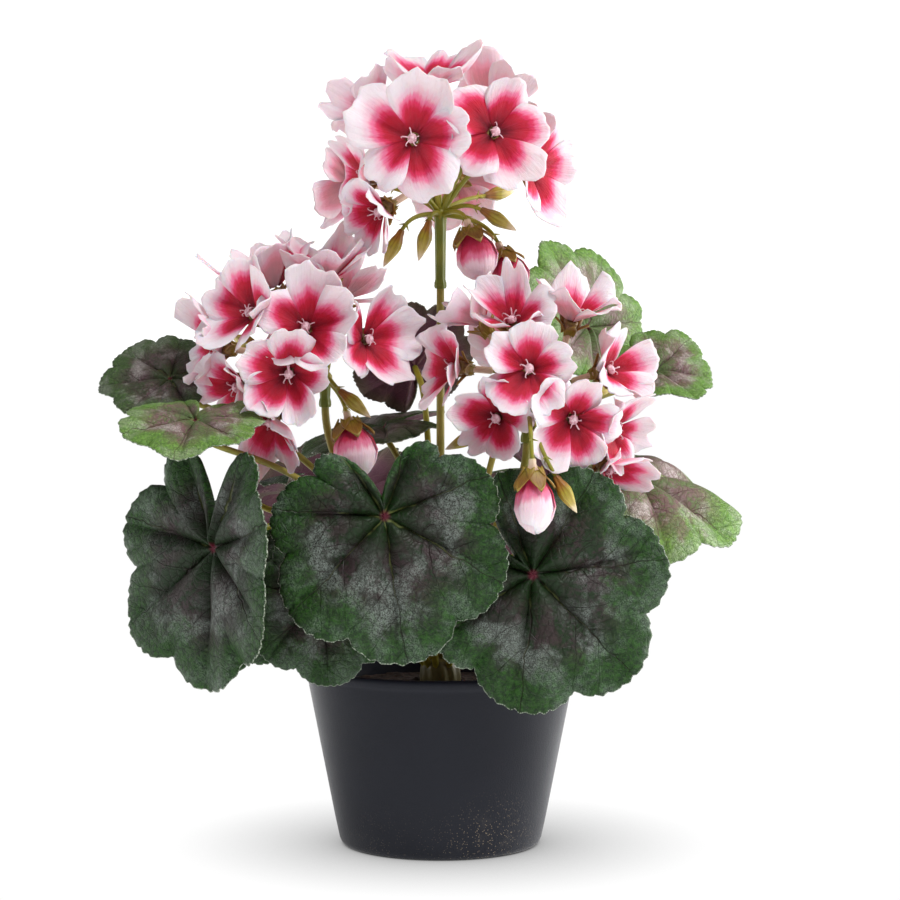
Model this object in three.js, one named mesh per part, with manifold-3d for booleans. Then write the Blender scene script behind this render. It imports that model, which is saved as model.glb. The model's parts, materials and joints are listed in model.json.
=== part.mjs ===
// Potted geranium: a tapered pot, potting mix, one short crown, fabric leaves on moulded stalks,
// and three flower heads, each a hub whose thin flower stalks carry open flowers and buds.
// Millimetres, +Z up. The origin is the centre of the pot's base. -Y is the plant's front.

import * as THREE from 'three';
import Module from 'manifold-3d';
import { mergeVertices } from 'three/addons/utils/BufferGeometryUtils.js';

// ---- driving dimensions -----------------------------------------------------------------------
const potHeight = 82;
const potTopRadius = 61;
const potBaseRadius = 45;
const potWall = 2;
const potFootRound = 3;
const potSegments = 36;

const headSpace = 12; // from the rim down to the potting mix
const mixRise = 3; // how much the mix is heaped toward the crown
const fitGap = 0.3; // the gap that pieces which touch keep in this model

const crownRadius = 9;
const crownDepth = 26; // how far the crown reaches into the mix
const crownStand = 10; // how far it stands above the mix
const leafStalkRadius = 1.5;
const leafStalkRing = 6.8; // where the leaf stalks leave the crown
const scapeRadius = 1.7; // a scape is the long stem of a flower head
const scapeRing = 3;

const bladeThickness = 1;
const bladeSpokes = 28; // four to each of the seven lobes
const bladeRings = 2;
const lobeDepth = 0.1; // how deep the outline is cut between two lobes, of the radius
const backLobeCut = 0.26; // how much shorter the lobes by the stalk are, of the radius
const sinusDepth = 0.72; // how deep it is cut where the stalk joins, of the radius
const sinusWidth = 0.2; // half the width of that cut, in radians

const hubRadius = 4;
const stubRadius = 2.4;
const flowerStalkRadius = 0.9;
const smallBudLength = 18;
const smallBudWidth = 5;
const flowerDepth = 19; // from the throat of a flower back to the end of its tube
const tubeRadius = 1.5;
const calyxRadius = 2.8;
const petalThickness = 0.9;
const petalCut = 0.3; // how deep the outline is cut between two petals, of the radius
const petals = 5;

const mixTop = potHeight - headSpace;
const crownTop = mixTop + mixRise + crownStand;

// ---- looks ------------------------------------------------------------------------------------
const finish = (color, roughness) => new THREE.MeshStandardMaterial({ color, roughness, metalness: 0 });
const potPlastic = finish(0x2b2c2f, 0.55);
const pottingMix = finish(0x2a1d15, 0.95);
const stalkGreen = finish(0x8c9048, 0.5);
const leafFabric = finish(0x3f6638, 0.8);
const petalFabric = finish(0xf0dde8, 0.8);
const budPink = finish(0xe9b3c4, 0.7);

// ---- small helpers ----------------------------------------------------------------------------
const wasm = await Module();
wasm.setup();

const potted = new THREE.Group();

function addPiece(name, geometry, material) {
  const mesh = new THREE.Mesh(geometry, material);
  mesh.name = name;
  potted.add(mesh);
}

const vector = (list) => new THREE.Vector3(...list);

// A point given by its compass angle (degrees from +X), its distance from the pot's axis and its
// height above the rim.
function aroundAxis(degrees, distance, aboveRim) {
  const angle = THREE.MathUtils.degToRad(degrees);
  return new THREE.Vector3(
    distance * Math.cos(angle),
    distance * Math.sin(angle),
    potHeight + aboveRim,
  );
}

// A closed skin over a row of rings of equal count, ended by a fan of triangles at each pole.
function loft(firstPole, rings, lastPole) {
  const points = [firstPole, ...rings.flat(), lastPole];
  const count = rings[0].length;
  const last = points.length - 1;
  const at = (ring, i) => 1 + ring * count + (i % count);
  const index = [];
  for (let i = 0; i < count; i++) {
    index.push(0, at(0, i), at(0, i + 1));
    for (let ring = 0; ring + 1 < rings.length; ring++) {
      index.push(at(ring, i), at(ring + 1, i), at(ring + 1, i + 1));
      index.push(at(ring, i), at(ring + 1, i + 1), at(ring, i + 1));
    }
    index.push(at(rings.length - 1, i), last, at(rings.length - 1, i + 1));
  }
  const geometry = new THREE.BufferGeometry().setFromPoints(points);
  geometry.setIndex(index);
  return geometry;
}

// A round piece turned from its profile of [radius, height], then set on a base along a direction.
function turned(profile, segments, base, direction) {
  const geometry = new THREE.LatheGeometry(profile.map(([r, z]) => new THREE.Vector2(r, z)), segments);
  geometry.rotateX(Math.PI / 2);
  const up = new THREE.Vector3(0, 0, 1);
  const turn = new THREE.Quaternion().setFromUnitVectors(up, direction.clone().normalize());
  geometry.applyQuaternion(turn);
  geometry.translate(base.x, base.y, base.z);
  return geometry;
}

function tube(path, radius, sides, steps) {
  const section = new THREE.Shape();
  for (let i = 0; i < sides; i++) {
    const angle = (2 * Math.PI * i) / sides;
    const point = [radius * Math.cos(angle), radius * Math.sin(angle)];
    if (i === 0) section.moveTo(...point);
    else section.lineTo(...point);
  }
  return new THREE.ExtrudeGeometry(section, { steps, bevelEnabled: false, extrudePath: path });
}

// A stalk leaves `start` along `rise` and reaches `end` along `arrive`.
function stalkPath(start, rise, end, arrive, startPull, endPull) {
  const reach = start.distanceTo(end);
  const first = start.clone().addScaledVector(rise.clone().normalize(), reach * startPull);
  const second = end.clone().addScaledVector(arrive.clone().normalize(), -reach * endPull);
  return new THREE.CubicBezierCurve3(start, first, second, end);
}

function toSolid(geometry) {
  const bare = geometry.clone();
  bare.deleteAttribute('normal');
  bare.deleteAttribute('uv');
  const merged = mergeVertices(bare, 1e-4);
  const vertProperties = new Float32Array(merged.attributes.position.array);
  const triVerts = new Uint32Array(merged.index.array);
  return new wasm.Manifold(new wasm.Mesh({ numProp: 3, vertProperties, triVerts }));
}

function joined(geometries) {
  const solid = geometries.map(toSolid).reduce((whole, next) => whole.add(next));
  const mesh = solid.getMesh();
  const geometry = new THREE.BufferGeometry();
  geometry.setAttribute('position', new THREE.BufferAttribute(mesh.vertProperties, 3));
  geometry.setIndex(new THREE.BufferAttribute(mesh.triVerts, 1));
  return geometry;
}

// ---- pot and potting mix ----------------------------------------------------------------------
// The radius inside the pot's wall at a height.
const potInside = (z) => potBaseRadius - potWall + ((potTopRadius - potBaseRadius) * z) / potHeight;

function potGeometry() {
  const slope = (potTopRadius - potBaseRadius) / potHeight;
  const profile = [
    [0, 0],
    [potBaseRadius - potFootRound, 0],
    [potBaseRadius - 0.3 * potFootRound, 0.3 * potFootRound],
    [potBaseRadius + slope * potFootRound, potFootRound],
    [potTopRadius, potHeight],
    [potTopRadius - potWall, potHeight],
    [potInside(potWall), potWall],
    [0, potWall],
  ];
  return turned(profile, potSegments, new THREE.Vector3(), new THREE.Vector3(0, 0, 1));
}

function mixGeometry() {
  const bottom = potWall + fitGap;
  const boreRadius = crownRadius + fitGap;
  const profile = [
    [0, bottom],
    [potInside(bottom) - fitGap, bottom],
    [potInside(mixTop) - fitGap, mixTop],
    [(potInside(mixTop) + boreRadius) / 2, mixTop + 0.7 * mixRise],
    [boreRadius, mixTop + mixRise],
    [boreRadius, mixTop - crownDepth - fitGap],
    [0, mixTop - crownDepth - fitGap],
  ];
  return turned(profile, potSegments, new THREE.Vector3(), new THREE.Vector3(0, 0, 1));
}

addPiece('pot', potGeometry(), potPlastic);
addPiece('potting_mix', mixGeometry(), pottingMix);

// ---- leaves -----------------------------------------------------------------------------------
// `out` is how far the stalk's end lies beyond the pot's rim, and `from` how far it lies from the
// axis. `facing` is the way the top of the blade looks, and `heading` the way of its middle lobe.
// `cup` and `fold` are slopes: toward the whole edge, and to both sides of the midrib. `droop` and
// `curl` are the angles in radians that the tip and the side lobes bend back by. `arch` is how far
// above its end the stalk is drawn up on the way, where it passes over a lower leaf. `backCut` and
// `sinus` take the place of backLobeCut and sinusWidth on a leaf whose back lobes stand apart.
const leaves = [
  { name: 'front_centre', angle: -107, out: 19, up: 73, facing: [0, -1, 0.1], heading: [0.15, 0, -1],
    radius: 64, cup: 0.04, fold: 0, droop: 0.15, curl: 0.12, backCut: 0.4, sinus: 0.42 },
  { name: 'front_right', angle: -60, out: 18, up: 47, facing: [0.1, -1, 0.12],
    heading: [0.7, 0, -0.7], radius: 62, cup: 0.06, fold: 0, droop: 0.2, curl: 0.1 },
  { name: 'front_left', angle: -150, out: 51, up: 57, facing: [-0.75, -0.66, 0.12],
    heading: [0.05, 0, -1], radius: 62, cup: 0.04, fold: 0, droop: 0.25, curl: 0, arch: 50 },
  { name: 'low_left', angle: -162, out: 34, up: 40, facing: [-0.3, -0.9, 0.2],
    heading: [-0.2, 0, -1], radius: 43, cup: 0.05, fold: 0, droop: 0.2, curl: 0.1 },
  { name: 'low_centre', angle: -135, out: 11, up: 36, facing: [-0.1, -0.98, 0.1],
    heading: [0.1, 0, -1], radius: 40, cup: 0.02, fold: 0, droop: 0.15, curl: 0.1 },
  { name: 'left_light', angle: -150, from: 121, up: 112, facing: [0, -0.3, 0.95],
    heading: [-0.2, -0.95, -0.25], radius: 35, cup: 0.05, fold: 0, droop: 0.3, curl: 0.3 },
  { name: 'far_left', angle: -175, from: 120, up: 127, facing: [0, -0.55, 0.83],
    heading: [-0.97, 0.05, -0.25], radius: 32, cup: 0.05, fold: 0.1, droop: 0.3, curl: 0.1 },
  { name: 'back_top', angle: 108, from: 38, up: 130, facing: [-0.2, 0.85, 0.5],
    heading: [-0.3, -0.2, 1], radius: 35, cup: 0.1, fold: 0, droop: 0.2, curl: -0.2 },
  { name: 'middle_left', angle: 139, from: 34, up: 103, facing: [-0.2, -0.12, 0.97],
    heading: [-1, 0.15, -0.2], radius: 40, cup: 0.05, fold: 0, droop: 0.3, curl: 0.2 },
  { name: 'right_top', angle: 28, from: 75, up: 148, facing: [0.75, -0.6, 0.35],
    heading: [-0.45, 0.1, 0.85], radius: 44, cup: 0.05, fold: 0.1, droop: 0.3, curl: 0.1 },
  { name: 'far_right', angle: 11, from: 99, up: 129, facing: [0.1, -0.6, 0.8],
    heading: [1, 0.1, -0.1], radius: 27, cup: 0.05, fold: 0.1, droop: 0.4, curl: 0.2, arch: 20 },
  { name: 'right_droop', angle: -7, from: 87, up: 82, facing: [0.3, -0.35, 0.85],
    heading: [0.85, -0.15, -0.5], radius: 52, cup: 0, fold: 0, droop: 0.3, curl: 0.7 },
  { name: 'right_under', angle: 46, from: 72, up: 78, facing: [0.1, 0.6, 0.8],
    heading: [0.9, 0.35, -0.2], radius: 42, cup: 0.05, fold: 0, droop: 0.3, curl: 0.2 },
  { name: 'left_behind', angle: 170, out: 27, up: 74, facing: [-0.4, 0.15, 0.9],
    heading: [-0.9, 0.25, -0.35], radius: 36, cup: 0.05, fold: 0, droop: 0.4, curl: 0.3 },
  { name: 'back_right', angle: 58, out: 42, up: 44, facing: [0.4, 0.85, 0.3],
    heading: [0.4, 0.3, -0.9], radius: 46, cup: 0.08, fold: 0, droop: 0.3, curl: 0.2 },
  { name: 'back_left', angle: 122, out: 33, up: 60, facing: [-0.35, 0.85, 0.4],
    heading: [-0.3, 0.3, -0.9], radius: 55, cup: 0.08, fold: 0, droop: 0.3, curl: 0.2 },
];

// How far the outline lies from the stalk's end, of the radius, at an angle from the middle lobe.
function leafOutline(leaf, angle) {
  const lobes = 1 - lobeDepth * (1 - Math.abs(Math.cos(3.5 * angle)));
  const backward = ((leaf.backCut ?? backLobeCut) * (1 - Math.cos(angle))) / 2;
  const fromSinus = (Math.PI - Math.abs(angle)) / (leaf.sinus ?? sinusWidth);
  return (lobes - backward) * (1 - sinusDepth * Math.exp(-fromSinus * fromSinus));
}

// Rolls a flat strip around a cylinder: `along` is the way it bends and `above` the height over it.
function roll(along, above, angle, radius) {
  if (Math.abs(angle) < 1e-6) return [along, above];
  const bend = angle / radius;
  const turn = along * bend;
  const level = Math.sin(turn) / bend + above * Math.sin(turn);
  const height = (Math.cos(turn) - 1) / bend + above * Math.cos(turn);
  return [level, height];
}

// The place of a blade's point before it is turned into place: x toward the middle lobe, z up.
function bladePoint(leaf, angle, share, above) {
  const reach = share * leaf.radius * leafOutline(leaf, angle);
  const x = reach * Math.cos(angle);
  const y = reach * Math.sin(angle);
  const height = above + leaf.cup * reach + leaf.fold * Math.abs(y);
  const [sideways, lifted] = roll(y, height, leaf.curl, leaf.radius);
  const [forward, upward] = roll(x, lifted, leaf.droop, leaf.radius);
  return new THREE.Vector3(forward, sideways, upward);
}

function bladeGeometry(leaf) {
  const ringOf = (share, above) =>
    Array.from({ length: bladeSpokes }, (_, i) =>
      bladePoint(leaf, -Math.PI + (2 * Math.PI * i) / bladeSpokes, share, above));
  const shares = Array.from({ length: bladeRings }, (_, i) => (i + 1) / bladeRings);
  const half = bladeThickness / 2;
  const top = shares.map((share) => ringOf(share, half));
  const under = shares.map((share) => ringOf(share, -half)).reverse();
  return loft(bladePoint(leaf, 0, 0, half), [...top, ...under], bladePoint(leaf, 0, 0, -half));
}

function turnInto(geometry, origin, x, z) {
  const up = z.clone().normalize();
  const forward = x.clone().addScaledVector(up, -x.dot(up)).normalize();
  const side = up.clone().cross(forward);
  geometry.applyMatrix4(new THREE.Matrix4().makeBasis(forward, side, up).setPosition(origin));
  return geometry;
}

function leafStalk(leaf, place, facing) {
  const compass = Math.atan2(place.y, place.x);
  const start = new THREE.Vector3(
    leafStalkRing * Math.cos(compass),
    leafStalkRing * Math.sin(compass),
    crownTop - 3,
  );
  const end = place.clone().addScaledVector(facing, -(bladeThickness / 2 + fitGap));
  const over = start.clone().lerp(end, 0.35).setZ(end.z + (leaf.arch ?? 0));
  const behind = end.clone().addScaledVector(facing, -0.15 * start.distanceTo(end));
  return tube(new THREE.CubicBezierCurve3(start, over, behind, end), leafStalkRadius, 6, 9);
}

function crownGeometry() {
  const profile = [
    [0, mixTop - crownDepth],
    [crownRadius - 3, mixTop - crownDepth],
    [crownRadius, mixTop - crownDepth + 5],
    [crownRadius, mixTop + mixRise],
    [crownRadius - 1, crownTop],
    [0, crownTop],
  ];
  return turned(profile, 16, new THREE.Vector3(), new THREE.Vector3(0, 0, 1));
}

const bushPieces = [crownGeometry()];
for (const leaf of leaves) {
  const distance = leaf.from ?? potTopRadius + leaf.out;
  const place = aroundAxis(leaf.angle, distance, leaf.up);
  const facing = vector(leaf.facing).normalize();
  const blade = turnInto(bladeGeometry(leaf), place, vector(leaf.heading), facing);
  addPiece(`leaf_${leaf.name}`, blade, leafFabric);
  bushPieces.push(leafStalk(leaf, place, facing));
}
addPiece('crown_and_leaf_stalks', joined(bushPieces), stalkGreen);

// ---- flower heads -----------------------------------------------------------------------------
// The buds that hang before the right front leaf move out with the rim, as that leaf does.
const frontBudReach = 1;

// Places in a head are measured from its hub. A flower's `throat` is the middle of its petals and
// `faces` the way they look; `width` is across the petals and `cup` how far their tips stand
// forward of the throat. A bud hangs or stands at `base` and points along `points`.
const heads = [
  {
    name: 'top', hub: [0, 0, 200], stub: 32, foot: 90,
    flowers: [
      { throat: [-12, -41, 33], faces: [-0.15, -0.98, 0.1], width: 46, cup: 3 },
      { throat: [24, -36, 36], faces: [0.3, -0.93, 0.2], width: 42, cup: 3 },
      { throat: [42, -15, 20], faces: [0.88, -0.42, -0.1], width: 40, cup: 4 },
      { throat: [-34, -12, 16], faces: [-0.95, -0.25, 0], width: 32, cup: 9 },
      { throat: [-27, -30, 1], faces: [-0.65, -0.6, -0.4], width: 30, cup: 9 },
      { throat: [-30, 14, 46], faces: [-0.55, 0.3, 0.8], width: 36, cup: 6 },
      { throat: [-4, -6, 58], faces: [-0.05, -0.2, 1], width: 38, cup: 4 },
      { throat: [24, 22, 48], faces: [0.5, 0.45, 0.75], width: 38, cup: 5 },
      { throat: [-42, 22, 14], faces: [-0.85, 0.5, 0.1], width: 34, cup: 5 },
      { throat: [8, 40, 16], faces: [0.15, 0.97, 0.1], width: 40, cup: 4 },
    ],
    pinkBuds: [
      { base: [12, -15, -4], points: [0.25, -0.1, -0.95], length: 24, width: 17 },
      { base: [26, -9, -14], points: [0.35, 0, -0.93], length: 22, width: 15 },
    ],
    smallBuds: [
      { base: [-17, -14, -7], points: [-0.45, 0, -0.9] },
      { base: [-5, -15, -3], points: [-0.25, -0.1, -0.95] },
      { base: [18, -12, 2], points: [0.85, 0, -0.5] },
      { base: [20, 18, 8], points: [0.7, 0.6, 0.1] },
    ],
  },
  {
    name: 'left', hub: [-51, -12, 128], stub: 12, foot: 205,
    flowers: [
      { throat: [-7, -34, 24], faces: [-0.05, -0.93, 0.35], width: 38, cup: 4 },
      { throat: [20, -20, 18], faces: [0.7, -0.7, 0.15], width: 34, cup: 4 },
      { throat: [-32, -25, 30], faces: [-0.6, -0.65, 0.45], width: 36, cup: 5 },
      { throat: [-14, -42, 4], faces: [-0.1, -0.98, -0.15], width: 32, cup: 5 },
      { throat: [-23, -29, -18], faces: [-0.3, -0.7, -0.65], width: 30, cup: 6 },
      { throat: [-48, -8, 14], faces: [-0.93, -0.25, 0.15], width: 32, cup: 4 },
      { throat: [-38, -20, -3], faces: [-0.75, -0.55, -0.25], width: 28, cup: 6 },
      { throat: [-24, 2, 42], faces: [-0.4, 0, 0.9], width: 36, cup: 6 },
      { throat: [1, -7, 46], faces: [0.05, -0.15, 1], width: 36, cup: 6 },
      { throat: [7, 19, 36], faces: [0.2, 0.6, 0.77], width: 30, cup: 5 },
    ],
    pinkBuds: [
      { base: [10, -10, -16], points: [0.2, -0.1, -0.96], length: 26, width: 18 },
    ],
    smallBuds: [
      { base: [7, -13, -5], points: [0.75, -0.1, -0.65] },
      { base: [-30, 18, 12], points: [-0.75, 0.6, 0.3] },
      { base: [-8, 26, 10], points: [0, 1, 0.2] },
    ],
  },
  {
    name: 'right', hub: [38, -22, 113], stub: 12, foot: 330,
    flowers: [
      { throat: [0, -44, 22], faces: [-0.05, -0.98, 0.2], width: 32, cup: 4 },
      { throat: [-14, -34, 0], faces: [-0.3, -0.94, -0.15], width: 30, cup: 4 },
      { throat: [19, -41, 0], faces: [0.2, -0.97, -0.1], width: 34, cup: 4 },
      { throat: [-7, -24, 42], faces: [-0.15, -0.65, 0.75], width: 30, cup: 5 },
      { throat: [20, -12, 44], faces: [0.25, -0.3, 0.92], width: 32, cup: 5 },
      { throat: [36, -14, 20], faces: [0.85, -0.45, 0.3], width: 32, cup: 5 },
      { throat: [38, -24, -6], faces: [0.85, -0.5, -0.1], width: 30, cup: 5 },
      { throat: [35, -28, -23], faces: [0.6, -0.6, -0.55], width: 26, cup: 5 },
      { throat: [-33, -15, 21], faces: [-0.9, -0.35, 0.1], width: 32, cup: 5 },
      { throat: [-22, -2, 42], faces: [-0.6, 0.1, 0.8], width: 30, cup: 5 },
      { throat: [-5, 28, 26], faces: [-0.1, 0.85, 0.5], width: 32, cup: 4 },
    ],
    pinkBuds: [
      { base: [1, frontBudReach - potTopRadius, -17], points: [0.05, 0, -1], length: 28, width: 16 },
    ],
    smallBuds: [
      { base: [-20, -24, -6], points: [-0.9, -0.2, -0.45] },
      { base: [11, frontBudReach + 4 - potTopRadius, -23], points: [0.5, 0, -0.86] },
      { base: [26, 14, 8], points: [0.8, 0.6, 0.1] },
    ],
  },
];

function flowerGeometry(flower) {
  const radius = flower.width / 2;
  const spokes = 2 * petals;
  const ringOf = (radiusAt, z) =>
    Array.from({ length: spokes }, (_, i) => {
      const angle = (2 * Math.PI * i) / spokes;
      return new THREE.Vector3(radiusAt(i) * Math.cos(angle), radiusAt(i) * Math.sin(angle), z);
    });
  const edge = (i) => (i % 2 === 0 ? radius : radius * (1 - petalCut));
  const round = (r) => () => r;
  const rings = [
    ringOf(round(0.45 * radius), 0.35 * flower.cup),
    ringOf(edge, flower.cup),
    ringOf(edge, flower.cup - petalThickness),
    ringOf(round(0.45 * radius), 0.35 * flower.cup - petalThickness),
    ringOf(round(calyxRadius), -5),
    ringOf(round(tubeRadius), -10),
    ringOf(round(tubeRadius), -flowerDepth),
  ];
  return loft(new THREE.Vector3(0, 0, -1), rings, new THREE.Vector3(0, 0, -flowerDepth));
}

function budProfile(length, width) {
  const radius = width / 2;
  return [
    [0, 0],
    [tubeRadius, 0],
    [0.4 * radius, 0.18 * length],
    [0.85 * radius, 0.42 * length],
    [radius, 0.66 * length],
    [0.7 * radius, 0.9 * length],
    [0, length],
  ];
}

// A flower stalk leaves the hub toward its end and arrives there along the way its flower faces.
function flowerStalk(end, faces) {
  const hub = new THREE.Vector3();
  const rise = end.clone().normalize().lerp(new THREE.Vector3(0, 0, 1), 0.25);
  return tube(stalkPath(hub, rise, end, faces, 0.35, 0.4), flowerStalkRadius, 5, 6);
}

function headGeometry(head) {
  const up = new THREE.Vector3(0, 0, 1);
  const stub = [[0, 0], [stubRadius, 0], [stubRadius, head.stub], [0, head.stub]];
  const ball = [[0, -hubRadius], [0.8 * hubRadius, -0.6 * hubRadius], [hubRadius, 0],
    [0.8 * hubRadius, 0.6 * hubRadius], [0, hubRadius]];
  const pieces = [
    turned(stub, 8, new THREE.Vector3(0, 0, -head.stub), up),
    turned(ball, 8, new THREE.Vector3(), up),
  ];
  for (const flower of head.flowers) {
    const faces = vector(flower.faces).normalize();
    const end = vector(flower.throat).addScaledVector(faces, -(flowerDepth + fitGap));
    pieces.push(flowerStalk(end, faces));
  }
  for (const bud of head.pinkBuds) {
    const points = vector(bud.points).normalize();
    pieces.push(flowerStalk(vector(bud.base).addScaledVector(points, -fitGap), points));
  }
  for (const bud of head.smallBuds) {
    const points = vector(bud.points).normalize();
    const base = vector(bud.base);
    pieces.push(flowerStalk(base.clone().addScaledVector(points, 1), points));
    pieces.push(turned(budProfile(smallBudLength, smallBudWidth), 6, base, points));
  }
  return joined(pieces);
}

function scapeGeometry(head, hub) {
  const compass = THREE.MathUtils.degToRad(head.foot);
  const start = new THREE.Vector3(
    scapeRing * Math.cos(compass),
    scapeRing * Math.sin(compass),
    crownTop + fitGap,
  );
  const up = new THREE.Vector3(0, 0, 1);
  const end = hub.clone().addScaledVector(up, -(head.stub + fitGap));
  return tube(stalkPath(start, up, end, up, 0.35, 0.35), scapeRadius, 8, 12);
}

for (const head of heads) {
  const hub = vector(head.hub).add(new THREE.Vector3(0, 0, potHeight));
  addPiece(`scape_${head.name}`, scapeGeometry(head, hub), stalkGreen);
  addPiece(`umbel_${head.name}`, headGeometry(head).translate(hub.x, hub.y, hub.z), stalkGreen);
  head.flowers.forEach((flower, i) => {
    const throat = vector(flower.throat).add(hub);
    const petalUp = new THREE.Vector3(0.2, 0.3, 1);
    const shape = turnInto(flowerGeometry(flower), throat, petalUp, vector(flower.faces));
    addPiece(`flower_${head.name}_${i + 1}`, shape, petalFabric);
  });
  head.pinkBuds.forEach((bud, i) => {
    const profile = budProfile(bud.length, bud.width);
    const base = vector(bud.base).add(hub);
    addPiece(`bud_${head.name}_${i + 1}`, turned(profile, 8, base, vector(bud.points)), budPink);
  });
}

export default potted;
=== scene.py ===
# %% [markdown]
# # A potted geranium of pressed fabric and moulded plastic
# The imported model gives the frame: where the pot stands, where each leaf is held and which way
# each flower faces. Everything that is seen is modelled here, over that frame, in metres.

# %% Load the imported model
import json
import math
import random

import bpy
import numpy as np
from mathutils import Matrix, Vector

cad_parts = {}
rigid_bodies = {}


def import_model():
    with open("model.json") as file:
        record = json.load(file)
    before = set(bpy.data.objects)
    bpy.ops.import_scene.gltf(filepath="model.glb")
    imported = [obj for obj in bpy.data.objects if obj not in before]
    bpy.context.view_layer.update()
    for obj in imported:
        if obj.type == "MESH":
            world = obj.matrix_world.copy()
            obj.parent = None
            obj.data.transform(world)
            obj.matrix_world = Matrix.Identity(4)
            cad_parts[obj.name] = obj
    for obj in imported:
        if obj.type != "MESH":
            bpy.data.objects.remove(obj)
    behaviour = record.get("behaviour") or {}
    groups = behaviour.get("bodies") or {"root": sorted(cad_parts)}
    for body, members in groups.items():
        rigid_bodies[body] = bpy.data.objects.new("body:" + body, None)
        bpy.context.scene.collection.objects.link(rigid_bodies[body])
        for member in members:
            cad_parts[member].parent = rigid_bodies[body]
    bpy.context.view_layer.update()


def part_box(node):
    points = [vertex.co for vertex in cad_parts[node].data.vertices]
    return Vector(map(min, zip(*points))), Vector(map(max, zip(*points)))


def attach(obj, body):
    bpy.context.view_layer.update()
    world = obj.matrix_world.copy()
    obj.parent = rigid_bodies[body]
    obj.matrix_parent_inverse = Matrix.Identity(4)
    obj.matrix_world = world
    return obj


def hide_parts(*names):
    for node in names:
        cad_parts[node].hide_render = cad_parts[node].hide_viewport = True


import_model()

mm = 0.001

# %% [markdown]
# ## Small helpers
# An operator works on all that is selected, so each step starts by clearing the selection. A
# finished piece is shaded smooth, rides on the one rigid body and hides the CAD nodes it replaces.


# %% Selecting, naming, joining
def deselect():
    bpy.ops.object.select_all(action="DESELECT")


def only(piece):
    deselect()
    piece.select_set(True)
    bpy.context.view_layer.objects.active = piece


def named(name):
    """Names the object that the last operator made, and its data."""
    made = bpy.context.object
    made.name = name
    made.data.name = name
    return made


def joined(parts, name):
    only(parts[0])
    for part in parts:
        part.select_set(True)
    if len(parts) > 1:
        bpy.ops.object.join()
    return named(name)


def placed(name, data):
    """A new object of the scene that holds the given data."""
    made = bpy.data.objects.new(name, data)
    bpy.context.scene.collection.objects.link(made)
    return made


def copy_of(pattern, matrix):
    """A copy with a mesh of its own, moved by a matrix that ends up in the mesh."""
    mesh = pattern.data.copy()
    mesh.transform(matrix)
    return placed(pattern.name, mesh)


def discard(*patterns):
    for pattern in patterns:
        bpy.data.meshes.remove(pattern.data)


def finished(piece, slot, *nodes):
    only(piece)
    bpy.ops.object.shade_smooth()
    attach(piece, "root")
    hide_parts(*nodes)
    return piece


# %% Sheets, turned pieces and stalks
def full_map(across, along):
    """A map that fills the unit square, with the piece's length upward."""
    return across / 2 + 0.5, along


def sheet(name, columns, rows, place, maps, materials):
    """A grid whose corners go to place(across, along), with across in -1..1 and along in 0..1."""
    deselect()
    bpy.ops.mesh.primitive_grid_add(x_subdivisions=columns, y_subdivisions=rows, size=2)
    made = named(name)
    mesh = made.data
    flat = np.empty(3 * len(mesh.vertices))
    mesh.vertices.foreach_get("co", flat)
    across, along = flat[0::3], (flat[1::3] + 1) / 2
    mesh.vertices.foreach_set("co", np.stack(place(across, along), axis=1).ravel())
    corner = np.empty(len(mesh.loops), dtype=np.int32)
    mesh.loops.foreach_get("vertex_index", corner)
    mesh.uv_layers.remove(mesh.uv_layers[0])
    for title, value in maps.items():
        layer = mesh.uv_layers.new(name=title)
        pair = np.stack(np.broadcast_arrays(*value(across, along)), axis=1)
        layer.data.foreach_set("uv", pair[corner].ravel())
    for material in materials:
        mesh.materials.append(material)
    mesh.update()
    return made


def open_edit(piece):
    """Opens a piece for editing with all of it selected."""
    only(piece)
    bpy.ops.object.mode_set(mode="EDIT")
    bpy.ops.mesh.select_all(action="SELECT")


def close_edit():
    bpy.ops.object.mode_set(mode="OBJECT")


def merge_corners(piece):
    open_edit(piece)
    bpy.ops.mesh.remove_doubles(threshold=1e-6)
    close_edit()


def thicken(piece, thickness, back=0, rim=0):
    """Gives a sheet its two sides. The back and the rim take later material slots."""
    only(piece)
    skin = piece.modifiers.new("thickness", "SOLIDIFY")
    skin.thickness = thickness
    skin.offset = 0
    skin.material_offset = back
    skin.material_offset_rim = rim
    bpy.ops.object.modifier_apply(modifier=skin.name)


def turned(name, profile, columns, rows, material, ribs=0, rib_depth=0.0, twist=0.0, unit=mm):
    """A round piece about Z from points of (radius, height), with ribs that may twist."""
    radii = [point[0] * unit for point in profile]
    heights = [point[1] * unit for point in profile]
    steps = np.linspace(0, 1, len(profile))

    def place(across, along):
        angle = math.pi * across
        radius = np.interp(along, steps, radii)
        height = np.interp(along, steps, heights)
        radius = radius * (1 + rib_depth * np.cos(ribs * (angle + twist * along)))
        return radius * np.cos(angle), radius * np.sin(angle), height

    made = sheet(name, columns, rows, place, {"long_map": full_map}, [material])
    merge_corners(made)
    return made


def stalk(name, points, radii, material, sides=10, steps=20):
    """A round stalk along one Bezier curve of four points, from one radius to the other."""
    deselect()
    bpy.ops.curve.primitive_bezier_curve_add()
    made = named(name)
    curve = made.data
    first, last = curve.splines[0].bezier_points
    for knot in (first, last):
        knot.handle_left_type = knot.handle_right_type = "FREE"
    first.co, first.handle_right, last.handle_left, last.co = points
    first.handle_left = 2 * points[0] - points[1]
    last.handle_right = 2 * points[3] - points[2]
    first.radius, last.radius = 1, radii[1] / radii[0]
    curve.bevel_depth = radii[0]
    curve.bevel_resolution = (sides - 4) // 2
    curve.resolution_u = steps
    curve.use_fill_caps = True
    curve.materials.append(material)
    only(made)
    bpy.ops.object.convert(target="MESH")
    return named(name)


# %% [markdown]
# ## Reading places from the CAD nodes
# A fan of triangles meets at each pole of a lofted CAD solid, so the pole is the corner with the
# most neighbours. From the poles come a blade's middle and facing, and a flower's throat.


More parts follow.
